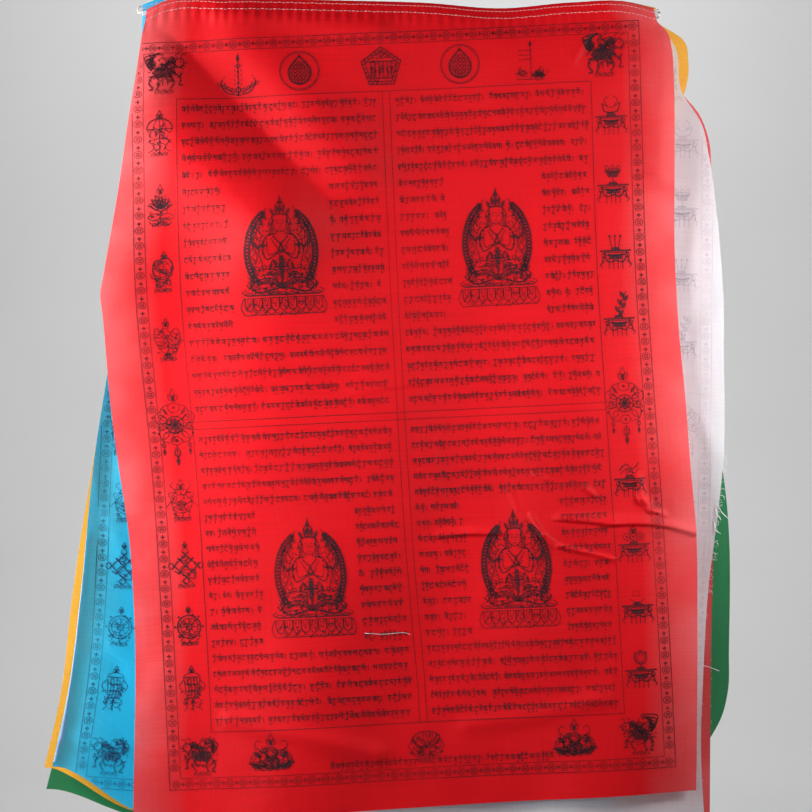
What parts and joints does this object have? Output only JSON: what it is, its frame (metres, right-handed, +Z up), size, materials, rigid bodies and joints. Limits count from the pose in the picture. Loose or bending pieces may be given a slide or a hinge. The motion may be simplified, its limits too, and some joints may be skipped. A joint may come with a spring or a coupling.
{
  "type": "prayer flag string",
  "caption": "String of large printed cloth prayer flags in the five colours, hanging as one stack from a cord that runs through their stitched top hems.",
  "frame": {"origin": "middle of the top edge of the hanging stack, halfway from the front flag to the back one, level with the hems' top", "axes": "+Z up, -Y towards the viewer, whom the red flag faces, +X to the viewer's right"},
  "size_m": [0.6157, 0.0916, 0.7355],
  "materials": {
    "red_cloth": "sheer woven polyester, dyed red, block-printed in dark ink",
    "white_cloth": "sheer woven polyester, bluish white, block-printed in faded ink",
    "blue_cloth": "sheer woven polyester, dyed sky blue, block-printed in dark ink",
    "yellow_cloth": "sheer woven polyester, dyed orange yellow, block-printed in dark ink",
    "green_cloth": "sheer woven polyester, dyed green, block-printed in dark ink",
    "cord_yarn": "twisted greyish white cord"
  },
  "bodies": {
    "root": {"flag_01_red": "red_cloth", "flag_02_white": "white_cloth", "flag_03_blue": "blue_cloth", "flag_04_yellow": "yellow_cloth", "flag_05_green": "green_cloth", "flag_06_red": "red_cloth", "flag_07_white": "white_cloth", "flag_08_blue": "blue_cloth", "flag_09_yellow": "yellow_cloth", "flag_10_green": "green_cloth", "header_cord": "cord_yarn"}
  },
  "joints": []
}
